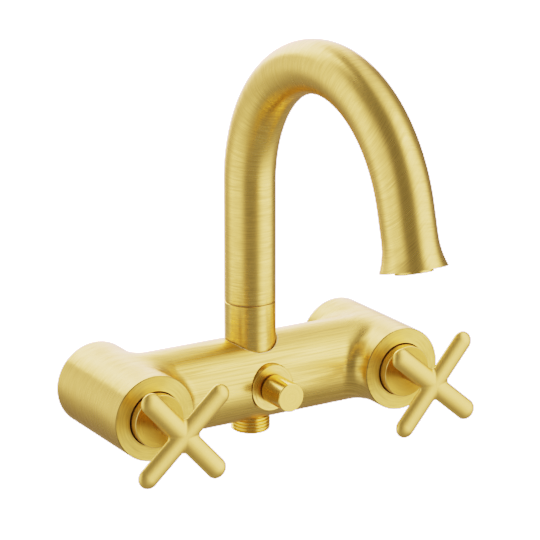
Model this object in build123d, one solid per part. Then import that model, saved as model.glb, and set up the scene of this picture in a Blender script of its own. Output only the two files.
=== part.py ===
from build123d import *
import math
import os

# A bath mixer tap for a wall: an H-shaped body, two cross handles on quarter-turn
# cartridges, a swivel gooseneck spout and a pull-out diverter for a shower hose.
#
# Millimetres, +Z up, front at -Y, hot side at -X. The origin lies midway between the two
# inlets, on the plane of the union nuts' rear faces, which is the plane of the wall.
# The pieces are drawn about the middle of the body and moved back to that origin when
# they are written. A "depth" is a distance forward of the body's middle.

# Fits and gaps, the same wherever they are used
THREAD_GAP = 0.05
SLIDE_GAP = 0.05
RING_GAP = 0.04
SEAT_GAP = 0.05
FUSE_TOLERANCE = 0.0001

# Body casting
CENTRES = 150.0
BODY_TO_WALL = 41.0
BODY_R = 22.5
BODY_FRONT = 32.2
BODY_BACK = 33.2
CORNER_R = 9.0
RIM_BEVEL = 0.4
GALLERY_R = 15.0
GALLERY_INNER = 20.0
GALLERY_OUTER = 57.0
PORT_R = 5.5

# Cartridges, from the seat in the body
CARTRIDGE_SEAT = 14.0
RECESS_R = 14.5
CARTRIDGE_THREAD_R = 10.25
CARTRIDGE_THREAD = 8.0
HEX_FLATS = 20.0
HEX_H = 5.0
GLAND_R = 8.0
GLAND_H = 2.5
CHAMBER_R = 9.4
CAGE_TUBE_R = 9.2
DISC_R = 7.3
DISC_POCKET_R = 7.6
DISC_T = 2.5
DRIVE_R = 7.0
DRIVE_T = 2.0
SEAL_T = 1.6
SEAL_INNER = 5.0
SEAL_PROUD = 1.2
WATER_SEAT = -7.0
WINDOW_W = 8.0
WINDOW_H = 4.2
SPINDLE_R = 3.95
SPLINE_TEETH = 20
SPLINE_ROOT = 3.55
CLIP_T = 0.8
CLIP_R = 5.5
CLIP_GROOVE = 3.3
HOUSING_RING_WIRE = 0.8
HOUSING_RING_BED = 8.6

# Handles
HUB_R = 13.9
HUB_PROUD = 5.2
HUB_DEEP = 11.7
HUB_CAVITY_R = 12.5
HUB_BOSS_R = 7.2
HUB_EDGE = 0.4
SOCKET_DEEP = 7.5
HUB_WEB = 1.2
NECK_SPIGOT_R = 3.55
NECK_SPIGOT = 4.4
CAP_SCREW_HEAD_R = 3.4
CAP_SCREW_HEAD = 1.8
CAP_SCREW_R = 1.95
CAP_SCREW_L = 8.0
CROSS_DEPTH = 61.8
ARM_REACH = 32.6
ARM_HALF_WIDTH = 5.5
ARM_HALF_THICK = 2.95
ARM_STEP = 0.08
ARM_ROOT_R = 2.5
NECK_R = 4.0
NECK_FLARE = 0.6
NECK_ROOT_R = 2.0
HOT_ANGLE = 41.8
COLD_ANGLE = 49.6
GRUB_R = 1.45
GRUB_L = 5.0
GRUB_DROP = 2.6
GRUB_KEY = 1.5

# Spout
SPOUT_R = 13.45
SPOUT_WALL = 1.5
SWIVEL_Z = 42.1
SWIVEL_GAP = 0.5
BEND_Z = 106.2
BEND_R = 72.2
BEND_ANGLE = 165.0
OUTLET_LEG = 29.4
BELL_R = 16.4
BELL_L = 15.0
SPOUT_EDGE = 0.3
SPOUT_HOLE_GAP = 0.35
SPOUT_HOLE_EDGE = 0.7
SPOUT_LIP_Z = 17.0
SPOUT_FLOOR_Z = 13.0
SPOUT_POCKET_R = 11.5
SPOUT_POCKET_Z = 11.6
STEM_R = 10.0
STEM_BORE = 7.5
STEM_FOOT_Z = 23.0
SOCKET_STEP_Z = 21.5
SOCKET_BORE = 8.5
STEM_IN_TUBE = 12.0
STEM_RING_WIRE = 0.87
STEM_RING_Z = (26.5, 32.5)
STEM_GROOVE_Z = 38.0
STEM_GROOVE_H = 3.2
STEM_GROOVE_DEEP = 1.4
GLIDE_T = 0.4
GLIDE_OUTER = 12.6
SPOUT_SCREW_R = 2.45
SPOUT_SCREW_TIP_R = 1.3
SPOUT_SCREW_KEY = 2.5

# Aerator
AERATOR_R = 9.25
AERATOR_PROUD = 1.7
AERATOR_DEEP = 8.8
AERATOR_WALL = 1.2
AERATOR_LIP = 1.0
AERATOR_LIP_T = 0.8
AERATOR_WASHER_T = 1.5
AERATOR_WASHER_INNER = 6.5
GRID_HOLE_R = 0.9
GRID_PITCH = 2.4
GRID_T = 1.6
OUTLET_SHOULDER_R = 8.2
OUTLET_TAPER = 4.0

# Diverter
BONNET_R = 12.35
BONNET_FACE = 23.0
BONNET_FLOOR = 18.0
BONNET_HOLE_GAP = 0.25
BONNET_THREAD_R = 10.0
BONNET_NOSE = 12.5
SLEEVE_R = 9.4
SLEEVE_WALL = 1.9
SLEEVE_BACK = -13.8
VALVE_CLEAR = 6.1
VALVE_LIP_T = 1.4
VALVE_LIP_BORE = 5.5
DIVERTER_TRAVEL = 8.0
VALVE_R = 6.6
VALVE_RUBBER_T = 1.0
VALVE_METAL_T = 2.0
ROD_R = 3.0
ROD_TAIL_R = 2.0
VALVE_NUT_FLATS = 7.0
VALVE_NUT_T = 2.4
ROD_RING_WIRE = 0.85
ROD_RING_DEPTHS = (16.9, 20.6)
BONNET_RING_WIRE = 0.75
BONNET_RING_R = 11.2
SPRING_WIRE = 0.8
SPRING_R = 4.5
SPRING_TURNS = 7
SPRING_POCKET_R = 5.4
SPRING_POCKET = 14.8
KNOB_R = 7.65
KNOB_FACE = 41.2
KNOB_FOOT = 24.0
KNOB_EDGE = 0.5
KNOB_BORE_L = 12.0
PASSAGE_W = 10.0

# Shower hose outlet
HOSE_R = 10.48
HOSE_RUNOUT_R = 10.2
HOSE_END_Z = -29.0
HOSE_FLOOR_Z = -13.0
HOSE_BORE = 6.0
HOSE_KEY_FLATS = 12.0
HOSE_KEY_DEEP = 7.0
HOSE_BEVEL = 0.8
HOSE_POCKET_R = 9.9
HOSE_POCKET_Z = -11.6

# Inlets
NUT_FLATS = 30.0
NUT_H = 13.8
NUT_BORE = 12.06
NUT_WALL = 2.6
NUT_RELIEF_R = 12.4
NUT_BEVEL = 1.0
BACK_RECESS_R = 19.0
BACK_RECESS = 6.0
TAIL_THREAD_R = 10.2
TAIL_THREAD = 12.0
TAIL_BORE = 6.5
TAIL_NECK_R = 10.5
TAIL_FLANGE_R = 11.9
TAIL_FLANGE = 2.0
TAIL_KEY_FLATS = 12.0
TAIL_KEY_DEEP = 8.0
WASHER_R = 11.8
WASHER_INNER = 7.0
WASHER_T = 1.5

# Places that several pieces share
SIDES = {"hot": -CENTRES / 2, "cold": CENTRES / 2}
HUB_FACE = BODY_FRONT + HUB_PROUD
HUB_SKIRT = HUB_FACE - HUB_PROUD - HUB_DEEP
SPIGOT_FLOOR = HUB_FACE - NECK_SPIGOT
SCREW_SEAT = SPIGOT_FLOOR - CAP_SCREW_HEAD - SEAT_GAP
SOCKET_TOP = SCREW_SEAT - HUB_WEB
GLAND_TOP = CARTRIDGE_SEAT + HEX_H + GLAND_H
SEAL_TOP = WATER_SEAT + SEAL_T
FIXED_DISC = SEAL_TOP + SEAT_GAP
MOVING_DISC = FIXED_DISC + DISC_T + SEAT_GAP
DRIVE_PLATE = MOVING_DISC + DISC_T + SEAT_GAP
DISC_CEILING = DRIVE_PLATE + DRIVE_T + SEAT_GAP
SPINDLE_BORE = SPINDLE_R + SLIDE_GAP
SPINDLE_TOP = SOCKET_TOP - SEAT_GAP
SPOUT_HOLE_R = SPOUT_R + SPOUT_HOLE_GAP
TUBE_FOOT_Z = SWIVEL_Z + SWIVEL_GAP
TUBE_BORE = SPOUT_R - SPOUT_WALL
NUT_REAR = -BODY_TO_WALL
NUT_FRONT = NUT_REAR + NUT_H
RECESS_FLOOR = BACK_RECESS - BODY_BACK
FLANGE_SEAT = NUT_FRONT - NUT_WALL
FLANGE_REAR = FLANGE_SEAT - TAIL_FLANGE
WASHER_REAR = FLANGE_REAR - WASHER_T
VALVE_STACK = 2 * VALVE_RUBBER_T + VALVE_METAL_T
VALVE_BACK = -(DIVERTER_TRAVEL + VALVE_STACK) / 2
VALVE_FRONT = VALVE_BACK + VALVE_STACK
SLEEVE_FRONT = BONNET_NOSE - SEAT_GAP
SLEEVE_BORE = SLEEVE_R - SLEEVE_WALL

# Forward is the local +Z of everything turned about a front-to-back axis
FORWARD = Plane(origin=(0, 0, 0), x_dir=(1, 0, 0), z_dir=(0, -1, 0)).location
BOTTOM = (Align.CENTER, Align.CENTER, Align.MIN)


def rod(radius, low, high):
    """A cylinder about the local Z axis, from low to high."""
    return Pos(0, 0, low) * Cylinder(radius, high - low, align=BOTTOM)


def ring(outer, inner, low, high):
    """A plain ring about the local Z axis."""
    return rod(outer, low, high) - rod(inner, low, high)


def hexagon(flats, low, high):
    """A hexagonal prism about the local Z axis, sized across its flats."""
    corner = flats / math.sqrt(3)
    return Pos(0, 0, low) * extrude(RegularPolygon(corner, 6), high - low)


def turned(*outline):
    """A turned solid from (radius, height) corners, about the local Z axis."""
    return revolve(make_face(Plane.XZ * Polyline(*outline, close=True)), Axis.Z)


def o_ring(bed, wire, height):
    """A round ring of the given wire radius that lies on a bed of the given radius."""
    return Pos(0, 0, height) * Torus(bed + wire, wire)


def bevelled_hexagon(flats, low, high, bevel):
    """A hexagonal nut blank whose corners are turned off at both ends."""
    corner = flats / math.sqrt(3)
    blank = turned(
        (0, low),
        (flats / 2, low),
        (corner, low + bevel),
        (corner, high - bevel),
        (flats / 2, high),
        (0, high),
    )
    return hexagon(flats, low, high) & blank


def half_section(width):
    """Half of the body's section, or of a slanting cut through it: its bulge is to +X."""
    arc = Edge.make_ellipse(width, BODY_R, start_angle=-90, end_angle=90)
    return make_face([arc, Line(arc @ 1, arc @ 0)])


def corner():
    """The back right corner, whose plan has one blend radius at every height."""
    middle = CENTRES / 2
    turn = math.radians(45)
    start = (middle - CORNER_R, 0)
    end = (middle, CORNER_R)
    halfway = (start[0] + CORNER_R * math.sin(turn), CORNER_R * (1 - math.cos(turn)))
    arc = ThreePointArc(start, halfway, end)
    slanting = Plane(origin=start, x_dir=(-1, 1, 0), z_dir=(-1, -1, 0))
    section = slanting * half_section(BODY_R * math.sqrt(2))
    inside = sweep(section, path=arc, normal=slanting.z_dir)
    web = make_face(Polyline(start, (middle, 0), end) + arc)
    return inside.fuse(extrude(web, BODY_R, both=True), tol=FUSE_TOLERANCE)


def casting_quarter():
    """The back right quarter: half the barrel, the corner and half of the end."""
    middle = CENTRES / 2
    along_barrel = Plane(origin=(0, 0, 0), x_dir=(0, 1, 0), z_dir=(1, 0, 0))
    barrel = extrude(along_barrel * half_section(BODY_R), middle)
    mitre = Plane(origin=(middle - CORNER_R, 0, 0), x_dir=(0, 0, 1), z_dir=(1, 1, 0))
    barrel = split(barrel, bisect_by=mitre, keep=Keep.BOTTOM)
    length = BODY_FRONT + BODY_BACK
    across = Plane(origin=(middle, -length, 0), x_dir=(-1, 0, 0), z_dir=(0, 1, 0))
    inner = extrude(across * half_section(BODY_R), 2 * length)
    inner = split(inner, bisect_by=mitre, keep=Keep.TOP)
    across = Plane(origin=(middle, 0, 0), x_dir=(1, 0, 0), z_dir=(0, 1, 0))
    outer = extrude(across * half_section(BODY_R), length)
    return barrel.fuse(corner(), inner, outer, tol=FUSE_TOLERANCE)


def h_casting():
    """Two end cylinders and the barrel between them, run together in blended corners."""
    quarter = casting_quarter()
    half = quarter.fuse(mirror(quarter, Plane.XZ), tol=FUSE_TOLERANCE)
    shape = half.fuse(mirror(half, Plane.YZ), tol=FUSE_TOLERANCE)
    front = Plane(origin=(0, -BODY_FRONT, 0), x_dir=(1, 0, 0), z_dir=(0, -1, 0))
    back = Plane(origin=(0, BODY_BACK, 0), x_dir=(1, 0, 0), z_dir=(0, 1, 0))
    for plane in (front, back):
        shape = split(shape, bisect_by=plane, keep=Keep.BOTTOM)
    for x in SIDES.values():
        shape -= Pos(x, 0, 0) * FORWARD * rim_bevels()
    return shape


def rim_bevels():
    """What is turned off the front and back rims of one end cylinder."""
    outside = 2 * BODY_R
    inside = BODY_R - RIM_BEVEL
    front = turned(
        (inside, BODY_FRONT),
        (BODY_R, BODY_FRONT - RIM_BEVEL),
        (outside, BODY_FRONT - RIM_BEVEL),
        (outside, BODY_FRONT),
    )
    back = turned(
        (inside, -BODY_BACK),
        (BODY_R, RIM_BEVEL - BODY_BACK),
        (outside, RIM_BEVEL - BODY_BACK),
        (outside, -BODY_BACK),
    )
    return front + back


def end_bores():
    """What is cut from one end cylinder: handle recess, cartridge bore and rear inlet."""
    cut = rod(RECESS_R, CARTRIDGE_SEAT, BODY_FRONT)
    cut += rod(CARTRIDGE_THREAD_R + THREAD_GAP, CARTRIDGE_SEAT - CARTRIDGE_THREAD, CARTRIDGE_SEAT)
    cut += rod(CHAMBER_R, WATER_SEAT, CARTRIDGE_SEAT)
    cut += rod(PORT_R, RECESS_FLOOR, WATER_SEAT)
    cut += rod(TAIL_THREAD_R + THREAD_GAP, RECESS_FLOOR, RECESS_FLOOR + TAIL_THREAD)
    cut += rod(BACK_RECESS_R, -BODY_BACK, RECESS_FLOOR)
    return FORWARD * cut


def water_galleries():
    """The hollow barrel: a wide gallery on each side and the ports that join them."""
    cut = Rot(0, 90, 0) * Cylinder(PORT_R, CENTRES)
    length = GALLERY_OUTER - GALLERY_INNER
    for side in (-1, 1):
        middle = side * (GALLERY_INNER + GALLERY_OUTER) / 2
        cut += Pos(middle, 0, 0) * Rot(0, 90, 0) * Cylinder(GALLERY_R, length)
    return cut


def diverter_bores():
    """The stepped bore for the diverter, with a passage up to the spout and one down."""
    cut = rod(BONNET_R + BONNET_HOLE_GAP, BONNET_FLOOR, BODY_FRONT)
    cut += rod(BONNET_THREAD_R + THREAD_GAP, BONNET_NOSE, BONNET_FLOOR)
    cut += rod(SLEEVE_R + SLIDE_GAP, SLEEVE_BACK - SEAT_GAP, BONNET_NOSE)
    cut = FORWARD * cut
    front = VALVE_CLEAR + VALVE_LIP_T
    up = SPOUT_POCKET_R - front
    cut += Pos(0, -front - up / 2, SPOUT_POCKET_Z / 2) * Box(PASSAGE_W, up, SPOUT_POCKET_Z)
    down = HOSE_POCKET_R - front
    cut += Pos(0, front + down / 2, HOSE_POCKET_Z / 2) * Box(PASSAGE_W, down, -HOSE_POCKET_Z)
    return cut


def spout_bores():
    """The hole that takes the spout's fixed collar, its floor and the pocket below."""
    top = BODY_R
    cut = rod(SPOUT_HOLE_R, SPOUT_LIP_Z, top)
    cut += rod(SPOUT_R + THREAD_GAP, SPOUT_FLOOR_Z, SPOUT_LIP_Z)
    return cut + rod(SPOUT_POCKET_R, SPOUT_POCKET_Z, SPOUT_FLOOR_Z)


def hose_bores():
    """The tapped hole under the barrel for the hose outlet, and the pocket above it."""
    cut = rod(HOSE_RUNOUT_R + THREAD_GAP, -BODY_R, HOSE_FLOOR_Z)
    return cut + rod(HOSE_POCKET_R, HOSE_FLOOR_Z, HOSE_POCKET_Z)


def mixer_body():
    body = h_casting() - spout_bores()
    reach = SPOUT_HOLE_R + SPOUT_HOLE_EDGE
    lip = [
        e
        for e in body.edges()
        if e.geom_type not in (GeomType.LINE, GeomType.CIRCLE)
        and e.center().Z > SPOUT_LIP_Z
        and math.hypot(e.center().X, e.center().Y) < reach
    ]
    body = fillet(lip, SPOUT_HOLE_EDGE)
    body -= hose_bores()
    body -= water_galleries()
    body -= diverter_bores()
    for x in SIDES.values():
        body -= Pos(x, 0, 0) * end_bores()
    return body


def cartridge_housing():
    """The brass cartridge shell: gland, hexagon, thread and the tube round the discs."""
    low = WATER_SEAT + SEAL_PROUD
    thread_end = CARTRIDGE_SEAT - CARTRIDGE_THREAD
    shell = hexagon(HEX_FLATS, CARTRIDGE_SEAT, CARTRIDGE_SEAT + HEX_H)
    shell += rod(GLAND_R, CARTRIDGE_SEAT, GLAND_TOP)
    shell += rod(CARTRIDGE_THREAD_R, thread_end, CARTRIDGE_SEAT)
    shell += rod(CAGE_TUBE_R, low, thread_end)
    bed = HOUSING_RING_BED
    groove = CARTRIDGE_SEAT - 2 * HOUSING_RING_WIRE - 2 * RING_GAP
    shell -= ring(CARTRIDGE_THREAD_R, bed, groove, CARTRIDGE_SEAT)
    shell -= rod(SPINDLE_BORE, low, GLAND_TOP)
    shell -= rod(DISC_POCKET_R, low, DISC_CEILING)
    middle = (MOVING_DISC + DISC_CEILING) / 2
    return shell - Pos(0, 0, middle) * Box(2 * CHAMBER_R, WINDOW_W, WINDOW_H)


def cartridge_o_ring():
    height = CARTRIDGE_SEAT - HOUSING_RING_WIRE - RING_GAP
    return o_ring(HOUSING_RING_BED + RING_GAP, HOUSING_RING_WIRE, height)


def spindle():
    """The turning spindle: splined head, clip groove, and the plate that drives the disc."""
    tooth = 360 / SPLINE_TEETH
    points = []
    for n in range(SPLINE_TEETH):
        for turn, radius in ((0, SPINDLE_R), (tooth / 2, SPLINE_ROOT)):
            angle = math.radians(n * tooth + turn)
            points.append((radius * math.cos(angle), radius * math.sin(angle)))
    foot = SOCKET_TOP - SOCKET_DEEP
    head = extrude(make_face(Polyline(*points, close=True)), SPINDLE_TOP - foot)
    shaft = Pos(0, 0, foot) * head + rod(SPINDLE_R, DRIVE_PLATE, foot)
    shaft -= ring(SPINDLE_R, CLIP_GROOVE, GLAND_TOP, GLAND_TOP + CLIP_T + 2 * SEAT_GAP)
    shaft += rod(DRIVE_R, DRIVE_PLATE, DRIVE_PLATE + DRIVE_T)
    return shaft - rod(CAP_SCREW_R + THREAD_GAP, SPINDLE_TOP - CAP_SCREW_L, SPINDLE_TOP)


def spindle_clip():
    """The open retaining ring that sits in the spindle's groove, on top of the gland."""
    low = GLAND_TOP + SEAT_GAP
    whole = ring(CLIP_R, CLIP_GROOVE + SLIDE_GAP, low, low + CLIP_T)
    return whole - Pos(CLIP_R, 0, low) * Box(CLIP_R, CLIP_GROOVE, 2 * CLIP_T)


def ceramic_disc(low):
    """A ceramic disc with two facing ports, each a quarter of a ring."""
    disc = rod(DISC_R, low, low + DISC_T)
    sector = ring(DISC_R - 1, SPINDLE_R / 2, low, low + DISC_T)
    wedge = make_face(Polyline((0, 0), (DISC_R, -DISC_R), (DISC_R, DISC_R), close=True))
    wedge = Pos(0, 0, low) * extrude(wedge, DISC_T)
    port = sector & wedge
    return disc - port - Rot(0, 0, 180) * port


def cartridge_seal():
    return ring(DISC_R, SEAL_INNER, WATER_SEAT, SEAL_TOP)


def handle_hub():
    """The turned disc behind the cross, hollow at the back, with the spline socket."""
    hub = rod(HUB_R, HUB_SKIRT, HUB_FACE)
    hub = fillet(hub.edges().group_by(Axis.Z)[-1], HUB_EDGE)
    hub -= rod(HUB_CAVITY_R, HUB_SKIRT, SOCKET_TOP)
    hub += rod(HUB_BOSS_R, SOCKET_TOP - SOCKET_DEEP + SLIDE_GAP, SOCKET_TOP)
    hub -= rod(SPINDLE_BORE, HUB_SKIRT, SOCKET_TOP)
    hub -= rod(CAP_SCREW_R + SLIDE_GAP, SOCKET_TOP, SCREW_SEAT)
    hub -= rod(NECK_SPIGOT_R + SLIDE_GAP, SCREW_SEAT, HUB_FACE)
    return hub - grub_hole()


def grub_hole():
    """The tapped hole up through the underside of the hub's rim."""
    hole = rod(GRUB_R + THREAD_GAP, 0, HUB_R)
    return Pos(0, 0, HUB_FACE - GRUB_DROP) * Rot(90, 0, 0) * hole


def handle_grub_screw():
    """A socket set screw that holds the cross's spigot in the hub."""
    tip = NECK_SPIGOT_R + SEAT_GAP
    screw = rod(GRUB_R, tip, tip + GRUB_L)
    screw -= hexagon(GRUB_KEY, tip + GRUB_L / 2, tip + GRUB_L)
    return Pos(0, 0, HUB_FACE - GRUB_DROP) * Rot(90, 0, 0) * screw


def hub_screw():
    """The cap screw that draws the hub onto the spindle."""
    head_top = SCREW_SEAT + CAP_SCREW_HEAD
    screw = rod(CAP_SCREW_HEAD_R, SCREW_SEAT, head_top)
    screw += rod(CAP_SCREW_R, SPINDLE_TOP - CAP_SCREW_L + SEAT_GAP, SCREW_SEAT)
    return screw - hexagon(CAP_SCREW_HEAD_R, SCREW_SEAT + CAP_SCREW_HEAD / 3, head_top)


def arm_pair(thick):
    """One bar of the cross along X: oval in section, with full round ends."""
    half_length = ARM_REACH - ARM_HALF_WIDTH
    left = Edge.make_ellipse(ARM_HALF_WIDTH, thick, start_angle=90, end_angle=270)
    right = Edge.make_ellipse(ARM_HALF_WIDTH, thick, start_angle=-90, end_angle=90)
    section = Plane(origin=(0, 0, 0), x_dir=(0, 1, 0), z_dir=(1, 0, 0)) * make_face([left, right])
    bar = extrude(section, half_length, both=True)
    profile = make_face([right, Line(right @ 1, right @ 0)])
    end = revolve(Plane.XZ * profile, Axis.Z)
    return bar + Pos(half_length, 0, 0) * end + Pos(-half_length, 0, 0) * end


def cross_handle(angle):
    """The cross and its neck, forged in one, with a spigot for the hub."""
    cross = arm_pair(ARM_HALF_THICK) + Rot(0, 0, 90) * arm_pair(ARM_HALF_THICK - ARM_STEP)
    near = 2 * ARM_HALF_WIDTH
    roots = [
        e
        for e in cross.edges()
        if e.geom_type != GeomType.LINE and math.hypot(e.center().X, e.center().Y) < near
    ]
    cross = fillet(roots, ARM_ROOT_R)
    neck_l = CROSS_DEPTH - HUB_FACE
    neck = Pos(0, 0, -neck_l) * Cone(NECK_R, NECK_R + NECK_FLARE, neck_l, align=BOTTOM)
    cross += neck
    collar = [
        e
        for e in cross.edges()
        if -2 * ARM_HALF_THICK < e.center().Z < -ARM_HALF_THICK / 4
        and math.hypot(e.center().X, e.center().Y) < NECK_R + NECK_FLARE
    ]
    cross = fillet(collar, NECK_ROOT_R)
    cross += rod(NECK_SPIGOT_R, -neck_l - NECK_SPIGOT + SEAT_GAP, -neck_l)
    return Pos(0, 0, CROSS_DEPTH) * Rot(0, 0, angle) * cross


def spout_socket():
    """The fixed collar in the body, in which the spout's stem turns."""
    collar = rod(SPOUT_R, SPOUT_FLOOR_Z, SWIVEL_Z)
    top = collar.edges().group_by(Axis.Z)[-1]
    collar = chamfer(top, SPOUT_EDGE)
    collar -= rod(SOCKET_BORE, SPOUT_FLOOR_Z, SOCKET_STEP_Z)
    collar -= rod(STEM_R + SLIDE_GAP, SOCKET_STEP_Z, SWIVEL_Z)
    return collar - spout_screw_place() * rod(SPOUT_SCREW_R + THREAD_GAP, STEM_R, SPOUT_R)


def spout_screw_place():
    """The set screw's axis: at the back of the collar, pointing away from the stem."""
    return Pos(0, 0, STEM_GROOVE_Z) * Rot(-90, 0, 0)


def spout_screw():
    """The set screw whose tip runs in the stem's groove and keeps the spout down."""
    head = SPOUT_R - SPOUT_EDGE
    seat = STEM_R + SLIDE_GAP
    screw = rod(SPOUT_SCREW_R, seat, head)
    screw += rod(SPOUT_SCREW_TIP_R, STEM_R - STEM_GROOVE_DEEP + SLIDE_GAP, seat)
    screw -= hexagon(SPOUT_SCREW_KEY, (seat + head) / 2, head)
    return spout_screw_place() * screw


def spout_stem():
    """The turned stem brazed into the spout: two ring grooves and one for the screw."""
    stem = rod(STEM_R, STEM_FOOT_Z, TUBE_FOOT_Z)
    stem += rod(TUBE_BORE - THREAD_GAP, TUBE_FOOT_Z, TUBE_FOOT_Z + STEM_IN_TUBE)
    stem -= rod(STEM_BORE, STEM_FOOT_Z, TUBE_FOOT_Z + STEM_IN_TUBE)
    for z in STEM_RING_Z:
        half = STEM_RING_WIRE + RING_GAP
        stem -= ring(STEM_R, stem_ring_bed(), z - half, z + half)
    half = STEM_GROOVE_H / 2
    low, high = STEM_GROOVE_Z - half, STEM_GROOVE_Z + half
    return stem - ring(STEM_R, STEM_R - STEM_GROOVE_DEEP, low, high)


def stem_ring_bed():
    """Radius of the O-ring grooves' floors: the ring fills the way to the socket."""
    return STEM_R + SLIDE_GAP - 2 * STEM_RING_WIRE - 2 * RING_GAP


def spout_o_rings():
    bed = stem_ring_bed() + RING_GAP
    rings = [o_ring(bed, STEM_RING_WIRE, z) for z in STEM_RING_Z]
    return Compound(children=rings)


def spout_glide_ring():
    """The thin plastic washer that the spout turns on."""
    return ring(GLIDE_OUTER, STEM_R + SLIDE_GAP, SWIVEL_Z, SWIVEL_Z + GLIDE_T)


def bend_end():
    """Where the spout's bend ends, as a place whose +Z points along the flow."""
    turn = math.radians(BEND_ANGLE)
    point = (0, BEND_R * (math.cos(turn) - 1), BEND_Z + BEND_R * math.sin(turn))
    flow = (0, -math.sin(turn), math.cos(turn))
    return Plane(origin=point, x_dir=(1, 0, 0), z_dir=flow)


def outlet_place():
    """The middle of the bell's rim, with +Z along the flow."""
    return bend_end().location * Pos(0, 0, OUTLET_LEG)


def spout_tube():
    """The gooseneck: a bent tube with a flared bell, bored at its end for the aerator."""
    half_turn = math.radians(BEND_ANGLE / 2)
    crown = (0, BEND_R * (math.cos(half_turn) - 1), BEND_Z + BEND_R * math.sin(half_turn))
    start = (0, 0, BEND_Z)
    riser = Line((0, 0, TUBE_FOOT_Z), start)
    bend = ThreePointArc(start, crown, bend_end().origin)
    wall = Circle(SPOUT_R) - Circle(TUBE_BORE)
    tube = sweep(Pos(0, 0, TUBE_FOOT_Z) * wall, path=riser + bend)
    rim = tube.edges().group_by(Axis.Z)[0].sort_by(SortBy.RADIUS)[-1]
    tube = chamfer(rim, SPOUT_EDGE)
    return tube + bend_end().location * bell()


def bell():
    """The straight outlet leg, turned from solid: outside it flares, inside it steps."""
    flare_start = OUTLET_LEG - BELL_L
    shoulder = OUTLET_LEG - AERATOR_DEEP - AERATOR_WASHER_T - SEAT_GAP
    bore = AERATOR_R + THREAD_GAP
    outside = Line((SPOUT_R, 0), (SPOUT_R, flare_start))
    flare = TangentArc((SPOUT_R, flare_start), (BELL_R, OUTLET_LEG), tangent=(0, 1))
    inside = Polyline(
        (BELL_R, OUTLET_LEG),
        (bore, OUTLET_LEG),
        (bore, shoulder),
        (OUTLET_SHOULDER_R, shoulder),
        (TUBE_BORE, shoulder - OUTLET_TAPER),
        (TUBE_BORE, 0),
        (SPOUT_R, 0),
    )
    section = make_face(Plane.XZ * (outside + flare + inside))
    return revolve(section, Axis.Z)


def aerator_housing():
    """The threaded shell that screws into the bell, with a lip that holds the insert."""
    shell = rod(AERATOR_R, -AERATOR_DEEP, AERATOR_PROUD)
    shell = fillet(shell.edges().group_by(Axis.Z)[-1], AERATOR_LIP / 3)
    shell -= rod(AERATOR_R - AERATOR_WALL, -AERATOR_DEEP, AERATOR_PROUD - AERATOR_LIP_T)
    return shell - rod(AERATOR_R - AERATOR_WALL - AERATOR_LIP, -AERATOR_DEEP, AERATOR_PROUD)


def aerator_insert():
    """The plastic cup whose floor is a grid of holes, set just behind the lip."""
    radius = AERATOR_R - AERATOR_WALL - SLIDE_GAP
    floor = AERATOR_PROUD - AERATOR_LIP_T
    cup = rod(radius, -AERATOR_DEEP, floor) - rod(radius - 1, -AERATOR_DEEP, floor - GRID_T)
    for x, y in grid_points(radius - 1 - GRID_HOLE_R):
        cup -= Pos(x, y, 0) * rod(GRID_HOLE_R, floor - GRID_T, floor)
    return cup


def grid_points(reach):
    """The middles of a honeycomb of holes that lie within a reach of the centre."""
    rows = math.ceil(reach / GRID_PITCH) + 1
    points = []
    for row in range(-rows, rows + 1):
        for column in range(-rows, rows + 1):
            x = (column + (row % 2) / 2) * GRID_PITCH
            y = row * GRID_PITCH * math.sqrt(3) / 2
            if math.hypot(x, y) <= reach:
                points.append((x, y))
    return points


def aerator_washer():
    top = -AERATOR_DEEP - SEAT_GAP / 2
    return ring(AERATOR_R, AERATOR_WASHER_INNER, top - AERATOR_WASHER_T, top)


def diverter_bonnet():
    """The flanged bush in the front of the barrel, which guides the diverter's rod."""
    bush = rod(BONNET_R, BONNET_FLOOR, BONNET_FACE)
    bush = chamfer(bush.edges().group_by(Axis.Z)[-1], BONNET_HOLE_GAP)
    bush += rod(BONNET_THREAD_R, BONNET_NOSE, BONNET_FLOOR)
    bush -= rod(ROD_R + SLIDE_GAP, BONNET_NOSE, BONNET_FACE)
    bush -= rod(SPRING_POCKET_R, BONNET_NOSE, SPRING_POCKET)
    for depth in ROD_RING_DEPTHS:
        half = ROD_RING_WIRE + RING_GAP
        bed = ROD_R + 2 * RING_GAP + 2 * ROD_RING_WIRE
        bush -= ring(bed, ROD_R, depth - half, depth + half)
    wire = BONNET_RING_WIRE + RING_GAP
    inner = BONNET_RING_R - wire
    return bush - ring(BONNET_RING_R + wire, inner, BONNET_FLOOR, BONNET_FLOOR + 2 * wire)


def rod_o_rings():
    rings = [o_ring(ROD_R + RING_GAP, ROD_RING_WIRE, depth) for depth in ROD_RING_DEPTHS]
    return Compound(children=rings)


def bonnet_o_ring():
    height = BONNET_FLOOR + BONNET_RING_WIRE + RING_GAP
    return o_ring(BONNET_RING_R - BONNET_RING_WIRE, BONNET_RING_WIRE, height)


def diverter_sleeve():
    """The ported sleeve: two inner lips are the seats that the valve disc closes."""
    lip = VALVE_CLEAR + VALVE_LIP_T
    sleeve = ring(SLEEVE_R, SLEEVE_BORE, SLEEVE_BACK, SLEEVE_FRONT)
    sleeve += ring(SLEEVE_R, VALVE_LIP_BORE, VALVE_CLEAR, lip)
    sleeve += ring(SLEEVE_R, VALVE_LIP_BORE, -lip, -VALVE_CLEAR)
    sleeve -= Box(3 * SLEEVE_R, PASSAGE_W, 2 * VALVE_CLEAR - 2)
    up = SPOUT_POCKET_R - lip
    sleeve -= Pos(0, SLEEVE_R, lip + up / 2) * Box(PASSAGE_W, 2 * VALVE_R, up)
    down = HOSE_POCKET_R - lip
    return sleeve - Pos(0, -SLEEVE_R, -lip - down / 2) * Box(PASSAGE_W, 2 * VALVE_R, down)


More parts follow.
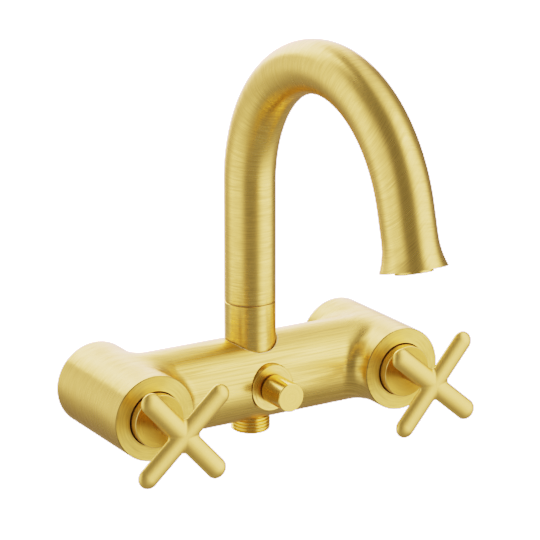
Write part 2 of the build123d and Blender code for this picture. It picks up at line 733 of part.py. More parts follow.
def diverter_rod():
    """The rod from the knob to the valve disc, with a thinner threaded tail."""
    tail_end = VALVE_BACK - VALVE_NUT_T - 1
    shaft = rod(ROD_R, VALVE_FRONT, KNOB_FOOT + KNOB_BORE_L)
    return shaft + rod(ROD_TAIL_R, tail_end, VALVE_FRONT)


def diverter_valve():
    """The brass disc that carries the two rubber faces."""
    low = VALVE_BACK + VALVE_RUBBER_T
    return ring(VALVE_R, ROD_TAIL_R + SLIDE_GAP, low, low + VALVE_METAL_T)


def valve_rubbers():
    """The two rubber faces of the valve disc, one on each side."""
    pieces = []
    for low in (VALVE_BACK, VALVE_FRONT - VALVE_RUBBER_T):
        pieces.append(ring(VALVE_R, ROD_TAIL_R + SLIDE_GAP, low, low + VALVE_RUBBER_T))
    return Compound(children=pieces)


def valve_nut():
    low = VALVE_BACK - VALVE_NUT_T
    nut = hexagon(VALVE_NUT_FLATS, low, VALVE_BACK)
    return nut - rod(ROD_TAIL_R + THREAD_GAP, low, VALVE_BACK)


def diverter_spring():
    """The coil that pushes the valve back to the spout's side when the water stops."""
    wire = SPRING_WIRE / 2
    low = VALVE_FRONT + wire + SEAT_GAP
    high = SPRING_POCKET - wire - SEAT_GAP
    pitch = (high - low) / SPRING_TURNS
    path = Helix(pitch, high - low, SPRING_R)
    section = Plane(origin=path @ 0, z_dir=path % 0) * Circle(wire)
    return Pos(0, 0, low) * sweep(section, path=path, is_frenet=True)


def diverter_knob():
    """The pull knob: a plain button bored at the back for the rod."""
    knob = rod(KNOB_R, KNOB_FOOT, KNOB_FACE)
    knob = fillet(knob.edges().group_by(Axis.Z)[-1], KNOB_EDGE)
    knob = chamfer(knob.edges().group_by(Axis.Z)[0], KNOB_EDGE)
    return knob - rod(ROD_R + THREAD_GAP, KNOB_FOOT, KNOB_FOOT + KNOB_BORE_L + SEAT_GAP)


def hose_nipple():
    """The outlet for the shower hose: a threaded pipe end with a key socket inside."""
    nipple = rod(HOSE_R, HOSE_END_Z, -BODY_R - SEAT_GAP)
    nipple = chamfer(nipple.edges().group_by(Axis.Z)[0], HOSE_BEVEL)
    nipple += rod(HOSE_RUNOUT_R, -BODY_R - SEAT_GAP, HOSE_FLOOR_Z)
    nipple -= rod(HOSE_BORE, HOSE_END_Z, HOSE_FLOOR_Z)
    return nipple - hexagon(HOSE_KEY_FLATS, HOSE_END_Z, HOSE_END_Z + HOSE_KEY_DEEP)


def inlet_tail():
    """The tailpiece screwed into the body's back: its flange holds the union nut on."""
    tail = rod(TAIL_THREAD_R, RECESS_FLOOR, RECESS_FLOOR + TAIL_THREAD)
    tail += rod(TAIL_NECK_R, FLANGE_SEAT, RECESS_FLOOR)
    tail += rod(TAIL_FLANGE_R, FLANGE_REAR, FLANGE_SEAT)
    tail -= rod(TAIL_BORE, FLANGE_REAR, RECESS_FLOOR + TAIL_THREAD)
    return tail - hexagon(TAIL_KEY_FLATS, FLANGE_REAR, FLANGE_REAR + TAIL_KEY_DEEP)


def inlet_nut():
    """The union nut: a hexagon bored and tapped from the wall side."""
    nut = bevelled_hexagon(NUT_FLATS, NUT_REAR, NUT_FRONT, NUT_BEVEL)
    nut -= rod(NUT_BORE, NUT_REAR, WASHER_REAR)
    nut -= rod(NUT_RELIEF_R, WASHER_REAR - SEAT_GAP, FLANGE_SEAT + SEAT_GAP)
    return nut - rod(TAIL_NECK_R + SLIDE_GAP, NUT_REAR, NUT_FRONT)


def inlet_washer():
    return ring(WASHER_R, WASHER_INNER, WASHER_REAR, FLANGE_REAR)


def side_pieces(side, angle):
    """The pieces that stand once on each side, about the side's front-to-back axis."""
    return {
        f"{side}_cartridge_housing": cartridge_housing(),
        f"{side}_cartridge_o_ring": cartridge_o_ring(),
        f"{side}_spindle": spindle(),
        f"{side}_spindle_clip": spindle_clip(),
        f"{side}_turning_disc": ceramic_disc(MOVING_DISC),
        f"{side}_fixed_disc": Rot(0, 0, 90) * ceramic_disc(FIXED_DISC),
        f"{side}_cartridge_seal": cartridge_seal(),
        f"{side}_handle_hub": handle_hub(),
        f"{side}_hub_screw": hub_screw(),
        f"{side}_handle_grub_screw": handle_grub_screw(),
        f"{side}_cross_handle": cross_handle(angle),
        f"{side}_inlet_tail": inlet_tail(),
        f"{side}_inlet_nut": inlet_nut(),
        f"{side}_inlet_washer": inlet_washer(),
    }


def diverter_pieces():
    return {
        "diverter_bonnet": diverter_bonnet(),
        "diverter_bonnet_o_ring": bonnet_o_ring(),
        "diverter_rod_o_rings": rod_o_rings(),
        "diverter_sleeve": diverter_sleeve(),
        "diverter_rod": diverter_rod(),
        "diverter_valve_disc": diverter_valve(),
        "diverter_valve_rubbers": valve_rubbers(),
        "diverter_valve_nut": valve_nut(),
        "diverter_spring": diverter_spring(),
        "diverter_knob": diverter_knob(),
    }


def aerator_pieces():
    return {
        "aerator_housing": aerator_housing(),
        "aerator_insert": aerator_insert(),
        "aerator_washer": aerator_washer(),
    }


def all_pieces():
    pieces = {
        "mixer_body": mixer_body(),
        "hose_nipple": hose_nipple(),
        "spout_socket": spout_socket(),
        "spout_screw": spout_screw(),
        "spout_glide_ring": spout_glide_ring(),
        "spout_stem": spout_stem(),
        "spout_o_rings": spout_o_rings(),
        "spout_tube": spout_tube(),
    }
    for node, shape in diverter_pieces().items():
        pieces[node] = FORWARD * shape
    for node, shape in aerator_pieces().items():
        pieces[node] = outlet_place() * shape
    for side, angle in (("hot", HOT_ANGLE), ("cold", COLD_ANGLE)):
        for node, shape in side_pieces(side, angle).items():
            pieces[node] = Pos(SIDES[side], 0, 0) * FORWARD * shape
    return pieces


os.makedirs("parts", exist_ok=True)
for node, shape in all_pieces().items():
    export_step(Pos(0, -BODY_TO_WALL, 0) * shape, f"parts/{node}.step")
    print(node, round(shape.volume))
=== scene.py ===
import math

import bmesh
import bpy
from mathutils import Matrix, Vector


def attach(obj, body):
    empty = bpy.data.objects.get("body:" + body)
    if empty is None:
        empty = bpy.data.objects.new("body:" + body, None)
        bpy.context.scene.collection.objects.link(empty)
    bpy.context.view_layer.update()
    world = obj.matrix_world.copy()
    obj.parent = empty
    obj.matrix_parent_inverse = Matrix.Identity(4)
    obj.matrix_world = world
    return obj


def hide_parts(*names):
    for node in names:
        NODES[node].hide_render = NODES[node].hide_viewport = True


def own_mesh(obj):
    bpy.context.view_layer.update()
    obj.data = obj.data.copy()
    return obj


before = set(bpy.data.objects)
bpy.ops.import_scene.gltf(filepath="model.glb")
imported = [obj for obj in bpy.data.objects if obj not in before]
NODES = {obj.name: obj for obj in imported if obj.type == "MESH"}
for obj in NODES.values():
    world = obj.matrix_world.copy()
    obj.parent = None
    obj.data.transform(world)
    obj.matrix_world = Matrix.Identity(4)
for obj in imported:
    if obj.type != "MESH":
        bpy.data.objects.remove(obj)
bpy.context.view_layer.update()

# Millimetres in a metre: Blender works in metres
PER_METRE = 1000.0

# Sizes of the part, in millimetres: the body's axis lies WALL in front of the unions' rear plane
WALL = 41.0
CENTRES = 150.0
SIDES = {"hot": -CENTRES / 2, "cold": CENTRES / 2}
BODY_R = 22.5
BODY_FRONT = 32.2
FRONT_Y = -WALL - BODY_FRONT
RIM_BEVEL = 0.4
BEND_Z = 106.2
BEND_R = 72.2
BEND_ANGLE = math.radians(165)
SPOUT_LIP_R = 14.8
HUB_FACE_R = 13.5
KNOB_FACE_R = 7.1

# The hose outlet, in millimetres: its radii and heights, the hexagon socket for its key, and
# its thread with the steepness of the flanks and the width of the root
HOSE_R = 10.48
HOSE_RUNOUT_R = 10.2
HOSE_SEAT_Z = -22.55
HOSE_END_Z = -29.0
HOSE_FLOOR_Z = -13.0
HOSE_BEVEL = 0.8
HOSE_BORE_R = 6.0
KEY_DEEP = 7.0
KEY_WIDER = 0.01
KEY_LEDGE = 0.02
THREAD_PITCH = 1.814
THREAD_DEEP = 1.0
THREAD_TOP_Z = -18.4
THREAD_STEP = 0.1
FLANK = 2.9
ROOT = 0.22

# Facets round the outlet, and the upright part of a normal from which a face is drawn flat
PIPE_SIDES = 120
FLAT_FACE = 0.98

# The camera of the photograph, in degrees, metres and millimetres of lens
AZIMUTH = 31.318
ELEVATION = 16.456
DISTANCE = 1.275
LENS = 160.4
SENSOR = 36
AIM_RIGHT = 0.010453
AIM_UP = 0.056079

# The studio's soft panels: bearing from the front (right is positive), half its width, height
# above the horizon, half its height, width of its soft edge, all in degrees, level and slant
PANELS = (
    (46, 15, 12, 24, 36, 1.45, 0.0),
    (174, 30, 25, 18, 7, 1.90, 0.68),
    (164, 20, 12, 20, 14, 1.35, 0.0),
    (-97, 16, 0, 18, 36, 0.84, 0.0),
    (-138, 14, 16, 15, 26, 0.58, 0.0),
    (88, 44, 62, 6, 34, 0.80, 0.0),
)

# The light between the panels, and what is added from below, between these heights in degrees
DIM = 0.235
FROM_BELOW = 0.10
BELOW_START = 10.0
BELOW_FULL = -30.0

# The floor, in metres
FLOOR_REACH = 8.0
FLOOR_Z = -0.25

# The film's curve: level of its middle, contrast, and the brightest red, green and blue of the metal
FILM_MIDDLE = 0.31
FILM_CONTRAST = 1.6
FILM_TOP = (0.89, 0.835, 0.835)
FILM_STEPS = (0.02, 0.05, 0.1, 0.15, 0.2, 0.27, 0.36, 0.48, 0.64, 0.85, 1.1, 1.5, 2.0)
WHITE = 3.0

# Hair lines and scratches: turns of the noise per millimetre across them, and its detail
BRUSHES = ((3.4, 2.0), (1.2, 1.0))

# Turns of the noise per millimetre along the lines, on the barrel and on what is turned
LONG = 0.03
SHORT = 0.11

# Brush lines on the outlet leg's left side: slant, and where they start and are full, in
# radians of the bend and in millimetres of x
SLANT = 0.8
LEG_START = 1.9
LEG_FULL = 2.5
LEFT_START = 6.0
LEFT_FULL = -4.0

# Values of the noise at which a line is darkest, brightest and glossiest, the shade of the
# darkest, and how far lines change the roughness
DARKEST = 0.38
BRIGHTEST = 0.60
GLOSSIEST = 0.62
GROOVE = 0.80
GLOSS = 0.06

# Clouds of handling: turns of the noise per millimetre, and how far they change the roughness
CLOUD = 0.05
CLOUD_GLOSS = 0.025

# The grain of the satin pieces in turns of the noise per millimetre, how much larger the
# blotches of the plain ones are than their grain, and the relief in metres
SATIN_GRAIN = 1.8
BLOTCH = 8
RELIEF = 0.0002

# The usual lowest and highest values of one noise, and of two added together
NOISE_LOW = 0.3
NOISE_HIGH = 0.7
BOTH_LOW = 0.7
BOTH_HIGH = 1.3

# The body's brush lines: where they become circles, as distances from its middle in millimetres,
# how fast they change round the barrel, their strength, and the circles' share of it
END_START = 49.0
END_FULL = 60.0
LINES_TURN = 52.5
LINES_DRIFT = 2.0
BODY_DEPTH = 1.4
QUIET = 0.45

# Roughness and anisotropy of the brushed pieces
BARREL_ROUGH = 0.34
END_ROUGH = 0.30
FACE_ROUGH = 0.44
LIP_ROUGH = 0.75
SPOUT_ROUGH = 0.33
BARREL_ANISO = 0.5
END_ANISO = 0.8
SPOUT_ANISO = 0.5
TURNED_ANISO = 0.6

# The soft width of a painted edge, in millimetres
EDGE = 0.1

# Linear colours, and the factor of the painted shade on the bevel round the ends' faces
GOLD = (0.945, 0.69, 0.222)
# Painted light: the ends' front faces are drawn lighter than the barrel, to offset the dark reflection of
# the cross handles
FACE_PAINTED_LIGHT_GOLD = (0.98, 0.74, 0.23)
# Painted shade: the hubs' end faces, darkened as in the shadow of the cross handles
HUB_PAINTED_SHADE_GOLD = (0.58, 0.39, 0.095)
# Painted highlight: the hubs' side walls, drawn paler than the rest of the gold
WALL_PAINTED_HIGHLIGHT_GOLD = (0.97, 0.76, 0.34)
# Painted shade: the knob's end face, drawn darker than its wall
KNOB_PAINTED_SHADE_GOLD = (0.80, 0.57, 0.17)
# Painted highlight: the pale colour of the lip round the spout's hole
LIP_PAINTED_HIGHLIGHT_GOLD = (1.0, 0.90, 0.60)
EDGE_GOLD = (0.98, 0.86, 0.80)
# Painted shade: the darkening of the bevel round the ends' faces
RIM_PAINTED_SHADE = 0.6
BRASS = (0.80, 0.60, 0.28)
STEEL = (0.62, 0.62, 0.63)
RUBBER = (0.018, 0.018, 0.02)
FIBRE = (0.05, 0.05, 0.055)
ACETAL = (0.80, 0.80, 0.77)
TAN_ACETAL = (0.72, 0.54, 0.26)
CERAMIC = (0.84, 0.82, 0.77)
PAPER = (0.95, 0.95, 0.95)


# The two inputs and the output of a Mix node, for each kind of value
MIX_SOCKETS = {"RGBA": (6, 7, 2), "FLOAT": (2, 3, 0), "VECTOR": (4, 5, 1)}


class Graph:
    """A short way to write a node tree: most calls add a node and return its output."""

    def __init__(self, tree):
        self.tree = tree
        tree.nodes.clear()

    def add(self, kind, **settings):
        node = self.tree.nodes.new(kind)
        for name, value in settings.items():
            setattr(node, name, value)
        return node

    def put(self, socket, value):
        if isinstance(value, bpy.types.NodeSocket):
            self.tree.links.new(value, socket)
        elif value is not None:
            socket.default_value = value

    def fill(self, node, values):
        for socket, value in zip(node.inputs, values):
            self.put(socket, value)
        return node

    def math(self, operation, *values):
        return self.fill(self.add("ShaderNodeMath", operation=operation), values).outputs[0]

    def plus(self, a, b):
        return self.math("ADD", a, b)

    def minus(self, a, b):
        return self.math("SUBTRACT", a, b)

    def times(self, a, b):
        return self.math("MULTIPLY", a, b)

    def vector(self, operation, *values):
        return self.fill(self.add("ShaderNodeVectorMath", operation=operation), values)

    def length(self, vector):
        return self.vector("LENGTH", vector).outputs["Value"]

    def scale(self, vector, factor):
        return self.vector("SCALE", vector, None, None, factor).outputs[0]

    def cross(self, a, b):
        return self.vector("CROSS_PRODUCT", a, b).outputs[0]

    def join(self, x, y, z):
        return self.fill(self.add("ShaderNodeCombineXYZ"), (x, y, z)).outputs[0]

    def split(self, vector):
        return self.fill(self.add("ShaderNodeSeparateXYZ"), (vector,)).outputs

    def noise(self, vector, scale, detail=2.0, roughness=0.5):
        node = self.add("ShaderNodeTexNoise", noise_dimensions="3D")
        self.put(node.inputs["Vector"], vector)
        self.put(node.inputs["Scale"], scale)
        self.put(node.inputs["Detail"], detail)
        self.put(node.inputs["Roughness"], roughness)
        return node.outputs["Fac"]

    def ramp(self, value, low, high, low_to=0.0, high_to=1.0, smooth=False):
        kind = "SMOOTHSTEP" if smooth else "LINEAR"
        node = self.add("ShaderNodeMapRange", interpolation_type=kind)
        return self.fill(node, (value, low, high, low_to, high_to)).outputs[0]

    def mix(self, factor, a, b, kind="RGBA"):
        node = self.add("ShaderNodeMix", data_type=kind)
        first, second, result = MIX_SOCKETS[kind]
        self.put(node.inputs[0], factor)
        self.put(node.inputs[first], a)
        self.put(node.inputs[second], b)
        return node.outputs[result]

    def finish(self, kind, source):
        output = self.add(kind)
        self.put(output.inputs["Surface"], source.outputs[0])


# Materials


def new_material(name):
    material = bpy.data.materials.new(name)
    material.use_nodes = True
    return material, Graph(material.node_tree)


def rgba(colour):
    return (*colour, 1.0)


def scaled(colour, factor):
    return rgba([channel * factor for channel in colour])


def finish_shader(g, colour, roughness, height, bump, metallic=1.0, aniso=0.0, across=None):
    """The last nodes of every material of the part: a Principled shader with a relief."""
    shader = g.add("ShaderNodeBsdfPrincipled")
    g.put(shader.inputs["Base Color"], colour)
    g.put(shader.inputs["Roughness"], roughness)
    g.put(shader.inputs["Metallic"], metallic)
    g.put(shader.inputs["Anisotropic"], aniso)
    g.put(shader.inputs["Tangent"], across)
    relief = g.add("ShaderNodeBump")
    relief.inputs["Strength"].default_value = bump
    relief.inputs["Distance"].default_value = RELIEF
    g.put(relief.inputs["Height"], height)
    g.put(shader.inputs["Normal"], relief.outputs[0])
    g.finish("ShaderNodeOutputMaterial", shader)
    return shader


def millimetres(g):
    """The shaded point's place on the part, in millimetres."""
    return g.scale(g.add("ShaderNodeTexCoord").outputs["Object"], PER_METRE)


def surface_normal(g):
    return g.add("ShaderNodeNewGeometry").outputs["Normal"]


def brush(g, first, second, across, long):
    """Hair lines and wider scratches, as one value about 0.5: first and second run along the lines."""
    values = []
    for fine, detail in BRUSHES:
        lines = g.join(g.times(first, long), g.times(second, long), g.times(across, fine))
        values.append(g.noise(lines, 1.0, detail=detail))
    return g.times(g.plus(*values), 0.5)


def along_barrel(g):
    """Lines along the barrel, and the direction across them."""
    x, y, z = g.split(millimetres(g))
    turn = g.times(g.math("ARCTAN2", z, g.plus(y, WALL)), BODY_R)
    value = brush(g, x, g.times(turn, LINES_DRIFT), turn, LONG)
    return value, g.cross(surface_normal(g), (1.0, 0.0, 0.0))


def round_y(g, middle):
    """Circles about a front-to-back axis at this x, and the direction across them."""
    x, y, z = g.split(millimetres(g))
    aside = g.minus(x, middle)
    radius = g.length(g.join(aside, 0.0, z))
    value = brush(g, aside, z, g.plus(radius, y), SHORT)
    circle = g.join(g.times(z, -1.0), 0.0, aside)
    across = g.vector("NORMALIZE", g.cross(surface_normal(g), circle)).outputs[0]
    return value, across


def round_spout(g):
    """Rings round the riser, the bend and the outlet leg, with slanting scratches on the leg's left."""
    x, y, z = g.split(millimetres(g))
    back = g.plus(y, WALL + BEND_R)
    height = g.minus(z, BEND_Z)
    turn = g.minus(math.pi / 2, g.math("ARCTAN2", back, height))
    turn = g.math("MINIMUM", g.math("MAXIMUM", turn, 0.0), BEND_ANGLE)
    sine = g.math("SINE", turn)
    cosine = g.math("COSINE", turn)
    outward = g.minus(g.plus(g.times(back, cosine), g.times(height, sine)), BEND_R)
    ahead = g.minus(g.times(height, cosine), g.times(back, sine))
    along = g.plus(ahead, g.times(turn, BEND_R))
    rings = brush(g, x, outward, along, SHORT)
    slanting = brush(g, x, outward, g.plus(along, g.times(x, SLANT)), SHORT)
    on_leg = g.ramp(along, BEND_R * LEG_START, BEND_R * LEG_FULL, smooth=True)
    on_left = g.ramp(x, LEFT_START, LEFT_FULL, smooth=True)
    value = g.mix(g.times(on_leg, on_left), rings, slanting, kind="FLOAT")
    return value, g.join(0.0, g.times(sine, -1.0), cosine)


def gold(g, value, across, roughness, aniso, depth=1.0, bump=0.12, colour=GOLD):
    """The brushed coating: colour, gloss and relief follow the lines, and clouds of handling."""
    groove = 1.0 - (1.0 - GROOVE) * depth
    if isinstance(colour, tuple):
        dark, bright = scaled(colour, groove), rgba(colour)
    else:
        dark, bright = g.scale(colour, groove), colour
    tone = g.mix(g.ramp(value, DARKEST, BRIGHTEST), dark, bright)
    cloud = g.noise(millimetres(g), CLOUD, detail=1.0)
    lines = g.ramp(value, DARKEST, GLOSSIEST, GLOSS * depth, -GLOSS * depth)
    changes = g.plus(lines, g.ramp(cloud, NOISE_LOW, NOISE_HIGH, -CLOUD_GLOSS, CLOUD_GLOSS))
    rough = g.plus(roughness, changes)
    shader = finish_shader(g, tone, rough, value, bump, aniso=aniso, across=across)
    shader.inputs["Specular Tint"].default_value = rgba(EDGE_GOLD)


def body_edges(g, x, y, z):
    """Where the ends' front faces, the bevels round them and the lip of the spout's hole lie: the masks of
    the faces' painted light, the bevels' painted shade and the lip's painted highlight.
    """
    aside = g.minus(g.math("ABSOLUTE", x), CENTRES / 2)
    from_axis = g.length(g.join(aside, 0.0, z))
    from_spout = g.length(g.join(x, g.plus(y, WALL), 0.0))
    on_face = g.ramp(y, FRONT_Y + 3 * EDGE, FRONT_Y + EDGE)
    far_out = g.ramp(from_axis, BODY_R - RIM_BEVEL - EDGE, BODY_R - RIM_BEVEL + EDGE)
    far_ahead = g.ramp(y, FRONT_Y + RIM_BEVEL + 2 * EDGE, FRONT_Y + RIM_BEVEL)
    near_spout = g.ramp(from_spout, SPOUT_LIP_R + EDGE, SPOUT_LIP_R)
    on_top = g.math("GREATER_THAN", z, 0.0)
    return on_face, g.times(far_out, far_ahead), g.times(near_spout, on_top)


def body_gold():
    """The casting: lines along the barrel, quiet circles round its ends, and their edges, with painted
    light on the ends' faces, painted shade on their bevels and a painted highlight on the spout's lip.
    """
    material, g = new_material("barrel_gold")
    x, y, z = g.split(millimetres(g))
    side = g.math("ABSOLUTE", x)
    at_end = g.ramp(side, END_START, END_FULL, smooth=True)
    barrel, over_barrel = along_barrel(g)
    circles, over_circles = round_y(g, g.times(g.math("SIGN", x), CENTRES / 2))
    quiet = g.ramp(circles, 0.0, 1.0, 0.5 - QUIET / 2, 0.5 + QUIET / 2)
    value = g.mix(at_end, barrel, quiet, kind="FLOAT")
    turned = g.math("GREATER_THAN", side, LINES_TURN)
    across = g.mix(turned, over_barrel, over_circles, kind="VECTOR")
    on_face, painted_shade_rim, on_lip = body_edges(g, x, y, z)
    # Painted light on the ends' front faces
    colour = g.mix(on_face, rgba(GOLD), rgba(FACE_PAINTED_LIGHT_GOLD))
    # Painted shade on the bevels round the ends' faces
    colour = g.mix(painted_shade_rim, colour, scaled(GOLD, RIM_PAINTED_SHADE))
    # Painted highlight on the lip of the spout's hole
    colour = g.mix(on_lip, colour, rgba(LIP_PAINTED_HIGHLIGHT_GOLD))
    roughness = g.ramp(at_end, 0.0, 1.0, BARREL_ROUGH, END_ROUGH)
    roughness = g.mix(on_face, roughness, FACE_ROUGH, kind="FLOAT")
    roughness = g.mix(on_lip, roughness, LIP_ROUGH, kind="FLOAT")
    aniso = g.ramp(at_end, 0.0, 1.0, BARREL_ANISO, END_ANISO)
    gold(g, value, across, roughness, aniso, BODY_DEPTH, colour=colour)
    return material


def spout_gold():
    material, g = new_material("spout_gold")
    value, across = round_spout(g)
    gold(g, value, across, SPOUT_ROUGH, SPOUT_ANISO, bump=0.08)
    return material


def turned_gold(name, middle, roughness=0.3, depth=1.0, wall=GOLD, face=None, face_r=0.0):
    """A turned piece about this x, whose end face within a radius may be drawn in another shade than its
    wall: painted shade on the hubs' and knob's faces, a painted highlight on the hubs' walls.
    """
    material, g = new_material(name)
    value, across = round_y(g, middle)
    colour = wall
    if face:
        x, y, z = g.split(millimetres(g))
        radius = g.length(g.join(g.minus(x, middle), 0.0, z))
        colour = g.mix(g.ramp(radius, face_r, face_r + 3 * EDGE), rgba(face), rgba(wall))
    gold(g, value, across, roughness, TURNED_ANISO, depth, colour=colour)
    return material


def satin_gold(name, roughness=0.41):
    """The same coating without brush lines, with a fine grain."""
    material, g = new_material(name)
    grain = g.noise(millimetres(g), SATIN_GRAIN, detail=3.0, roughness=0.6)
    gold(g, grain, None, roughness, aniso=0.0, depth=0.3)
    return material


def plain(name, colour, roughness, metallic=0.0, grain=1.0, bump=0.1, shade=0.85, ior=1.5):
    """A machined, moulded or pressed piece: fine grain in its colour, gloss and relief."""
    material, g = new_material(name)
    fine = g.noise(millimetres(g), grain, detail=3.0)
    blotch = g.noise(millimetres(g), grain / BLOTCH)
    tone = g.mix(g.ramp(fine, NOISE_LOW, NOISE_HIGH), scaled(colour, shade), rgba(colour))
    both = g.plus(fine, blotch)
    rough = g.ramp(both, BOTH_LOW, BOTH_HIGH, roughness - GLOSS, roughness + GLOSS)
    shader = finish_shader(g, tone, rough, fine, bump, metallic)
    shader.inputs["IOR"].default_value = ior
    return material


# The studio


def make_camera():
    az = math.radians(AZIMUTH)
    el = math.radians(ELEVATION)
    ahead = Vector((math.sin(az) * math.cos(el), math.cos(az) * math.cos(el), -math.sin(el)))
    right = Vector((math.cos(az), -math.sin(az), 0))
    target = Vector((0, -WALL / PER_METRE, 0)) + AIM_RIGHT * right + AIM_UP * right.cross(ahead)
    data = bpy.data.cameras.new("camera")
    data.lens = LENS
    data.sensor_width = SENSOR
    camera = bpy.data.objects.new("camera", data)
    camera.location = target - ahead * DISTANCE
    camera.rotation_mode = "QUATERNION"
    camera.rotation_quaternion = ahead.to_track_quat("-Z", "Y")
    bpy.context.scene.collection.objects.link(camera)
    bpy.context.scene.camera = camera


def panel_light(g, bearing, height, middle, wide, above, tall, edge, level, slant):
    """One soft panel's light in this direction: a slanted one rises with the bearing."""
    turned = g.math("WRAP", g.minus(bearing, float(middle)), 180.0, -180.0)
    risen = g.minus(height, g.times(turned, slant))
    aside = g.math("ABSOLUTE", turned)
    away = g.math("ABSOLUTE", g.minus(risen, float(above)))
    across = g.ramp(aside, wide, wide + edge, 1.0, 0.0, smooth=True)
    upward = g.ramp(away, tall, tall + edge, level, 0.0, smooth=True)
    return g.times(across, upward)


def make_world():
    """A studio of soft panels round the part, white to the camera."""
    world = bpy.data.worlds.new("studio")
    bpy.context.scene.world = world
    world.use_nodes = True
    g = Graph(world.node_tree)
    x, y, z = g.split(g.add("ShaderNodeTexCoord").outputs["Generated"])
    bearing = g.math("DEGREES", g.math("ARCTAN2", x, g.times(y, -1.0)))
    height = g.math("DEGREES", g.math("ARCSINE", z))
    light = g.ramp(height, BELOW_START, BELOW_FULL, DIM, DIM + FROM_BELOW, smooth=True)
    for panel in PANELS:
        light = g.plus(light, panel_light(g, bearing, height, *panel))
    seen = g.add("ShaderNodeLightPath").outputs["Is Camera Ray"]
    background = g.add("ShaderNodeBackground")
    g.put(background.inputs["Strength"], g.mix(seen, light, WHITE, kind="FLOAT"))
    g.finish("ShaderNodeOutputWorld", background)


def make_film():
    """The photograph's contrast: an S-shaped curve on red, green and blue."""
    view = bpy.context.scene.view_settings
    view.view_transform = "Standard"
    view.use_curve_mapping = True
    film = view.curve_mapping
    film.clip_max_x = WHITE
    film.use_clip = True
    for curve, top in zip(film.curves, FILM_TOP):
        curve.points[1].location = (WHITE, 1.0)
        for step in FILM_STEPS:
            rise = (step / FILM_MIDDLE) ** FILM_CONTRAST
            curve.points.new(step, top * rise / (1 + rise))
    film.update()


def make_floor():
    """A white floor below the part, which neither shows in the metal nor lights it."""
    mesh = bpy.data.meshes.new("floor")
    corners = [(x * FLOOR_REACH, y * FLOOR_REACH, FLOOR_Z) for x, y in ((-1, -1), (1, -1), (1, 1), (-1, 1))]
    mesh.from_pydata(corners, [], [(0, 1, 2, 3)])
    floor = bpy.data.objects.new("floor", mesh)
    bpy.context.scene.collection.objects.link(floor)
    material, g = new_material("floor")
    shader = g.add("ShaderNodeBsdfPrincipled")
    shader.inputs["Base Color"].default_value = rgba(PAPER)
    shader.inputs["Roughness"].default_value = 0.9
    shader.inputs["Emission Color"].default_value = (1, 1, 1, 1)
    shader.inputs["Emission Strength"].default_value = WHITE
    g.finish("ShaderNodeOutputMaterial", shader)
    mesh.materials.append(material)
    floor.visible_glossy = False
    floor.visible_diffuse = False


# Pieces drawn in place of CAD nodes


def stand_in(name, mesh, material, node):
    """A piece on the mixer that is drawn in place of a CAD node."""
    piece = bpy.data.objects.new(name, mesh)
    bpy.context.scene.collection.objects.link(piece)
    mesh.materials.clear()
    mesh.materials.append(material)
    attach(piece, "mixer")
    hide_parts(node)
    return piece


def hose_radius(z, angle):
    """The outlet's outside: a bevelled end, a rounded thread, narrower in the body, and a plain neck."""
    if z > THREAD_TOP_Z:
        return HOSE_RUNOUT_R
    widest = HOSE_RUNOUT_R if z > HOSE_SEAT_Z else HOSE_R
    turn = (z / THREAD_PITCH + angle / (2 * math.pi)) % 1.0
    crest = min(1.0, max(0.0, FLANK * abs(turn - 0.5) - ROOT))
    crest = crest * crest * (3 - 2 * crest)
    bevel = HOSE_R - HOSE_BEVEL + (z - HOSE_END_Z)
    return min(widest - THREAD_DEEP * (1 - crest), bevel)


def hose_bore(z, angle):
    """The outlet's inside: a hexagon socket for a key at the mouth, then a round bore."""
    if z > HOSE_END_Z + KEY_DEEP:
        return HOSE_BORE_R
    from_flat = angle % (math.pi / 3) - math.pi / 6
    return HOSE_BORE_R / math.cos(from_flat) + KEY_WIDER


def hose_walls():
    """The outlet's walls, up its outside and down its bore: each height with its radius function."""
    steps = int((HOSE_FLOOR_Z - HOSE_END_Z) / THREAD_STEP)
    outside = [HOSE_END_Z + n * THREAD_STEP for n in range(steps)] + [HOSE_FLOOR_Z]
    key_top = HOSE_END_Z + KEY_DEEP
    inside = [HOSE_FLOOR_Z, key_top + KEY_LEDGE, key_top, HOSE_END_Z]
    return [(z, hose_radius) for z in outside] + [(z, hose_bore) for z in inside]


def hose_ring(shape, z, radius):
    """One ring of points round the outlet's axis, at this height."""
    ring = []
    for n in range(PIPE_SIDES):
        angle = 2 * math.pi * n / PIPE_SIDES
        r = radius(z, angle)
        x = r * math.cos(angle)
        y = r * math.sin(angle) - WALL
        ring.append(shape.verts.new((x / PER_METRE, y / PER_METRE, z / PER_METRE)))
    return ring


def make_thread(material):
    """The hose outlet with its real thread, which stands in for the plain one."""
    shape = bmesh.new()
    rings = [hose_ring(shape, z, radius) for z, radius in hose_walls()]
    for low, high in zip(rings, rings[1:] + rings[:1]):
        for n in range(PIPE_SIDES):
            m = (n + 1) % PIPE_SIDES
            shape.faces.new((low[n], low[m], high[m], high[n]))
    bmesh.ops.recalc_face_normals(shape, faces=shape.faces)
    mesh = bpy.data.meshes.new("hose_outlet_thread")
    shape.to_mesh(mesh)
    shape.free()
    for face in mesh.polygons:
        face.use_smooth = abs(face.normal.z) < FLAT_FACE
    stand_in("hose_outlet_thread", mesh, material, "hose_nipple")


def make_spring(material):
    """The diverter's coil, drawn from its own copy of the CAD mesh (in the mixer it presses against the
    bonnet as the knob is pulled).
    """
    mesh = NODES["diverter_spring"].data.copy()
    coil = stand_in("diverter_spring_coil", mesh, material, "diverter_spring")
    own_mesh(coil)


# Which piece gets which material


def coat_with(material, *names):
    for name in names:
        NODES[name].data.materials.clear()
        NODES[name].data.materials.append(material)


def on_both_sides(*endings):
    return [f"{side}_{ending}" for side in SIDES for ending in endings]


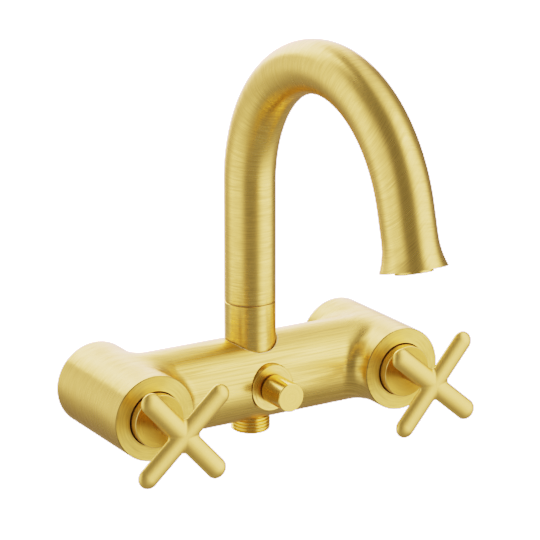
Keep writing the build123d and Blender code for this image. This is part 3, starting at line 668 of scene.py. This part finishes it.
def dress_inside(steel):
    """Bare brass everywhere, then what is made of steel, rubber, fibre, plastic or ceramic."""
    coat_with(plain("bare_brass", BRASS, roughness=0.28, metallic=1.0, grain=2.0), *NODES)
    coat_with(steel, "spout_screw", *on_both_sides("hub_screw", "handle_grub_screw", "spindle_clip"))
    rubber = plain("black_rubber", RUBBER, roughness=0.6, grain=1.2, bump=0.3, shade=0.7)
    coat_with(rubber, "spout_o_rings", "diverter_bonnet_o_ring", "diverter_rod_o_rings")
    coat_with(rubber, "diverter_valve_rubbers", "aerator_washer")
    coat_with(rubber, *on_both_sides("cartridge_o_ring", "cartridge_seal"))
    fibre = plain("sealing_fibre", FIBRE, roughness=0.75, grain=1.6, bump=0.6, shade=0.6)
    coat_with(fibre, *on_both_sides("inlet_washer"))
    coat_with(plain("white_acetal", ACETAL, roughness=0.42, bump=0.15, shade=0.96), "aerator_insert")
    coat_with(plain("tan_acetal", TAN_ACETAL, roughness=0.45, bump=0.15, shade=0.9), "spout_glide_ring")
    lapped = {"roughness": 0.16, "grain": 3.0, "bump": 0.04, "shade": 0.97, "ior": 1.76}
    coat_with(plain("lapped_ceramic", CERAMIC, **lapped), *on_both_sides("turning_disc", "fixed_disc"))


def dress_outside():
    """The brushed gold of what shows."""
    coat_with(body_gold(), "mixer_body")
    coat_with(spout_gold(), "spout_tube", "spout_socket")
    coat_with(turned_gold("bonnet_gold", middle=0.0), "diverter_bonnet")
    # Painted shade on the knob's end face
    knob_face = {"face": KNOB_PAINTED_SHADE_GOLD, "face_r": KNOB_FACE_R}
    coat_with(turned_gold("knob_gold", middle=0.0, roughness=0.22, depth=0.3, **knob_face), "diverter_knob")
    coat_with(satin_gold("aerator_gold", roughness=0.25), "aerator_housing")
    satin = satin_gold("satin_gold")
    # Painted shade on the hubs' faces and a painted highlight on their walls
    hub_face = {"wall": WALL_PAINTED_HIGHLIGHT_GOLD, "face": HUB_PAINTED_SHADE_GOLD, "face_r": HUB_FACE_R}
    for side, x in SIDES.items():
        coat_with(turned_gold(f"{side}_hub_gold", middle=x, depth=0.4, **hub_face), f"{side}_handle_hub")
        coat_with(satin, f"{side}_cross_handle", f"{side}_inlet_nut")


make_camera()
make_world()
make_floor()
make_film()
stainless = plain("stainless_steel", STEEL, roughness=0.26, metallic=1.0, grain=3.0)
dress_inside(stainless)
dress_outside()
make_thread(turned_gold("thread_gold", middle=0.0, roughness=0.22, depth=0.3))
make_spring(stainless)
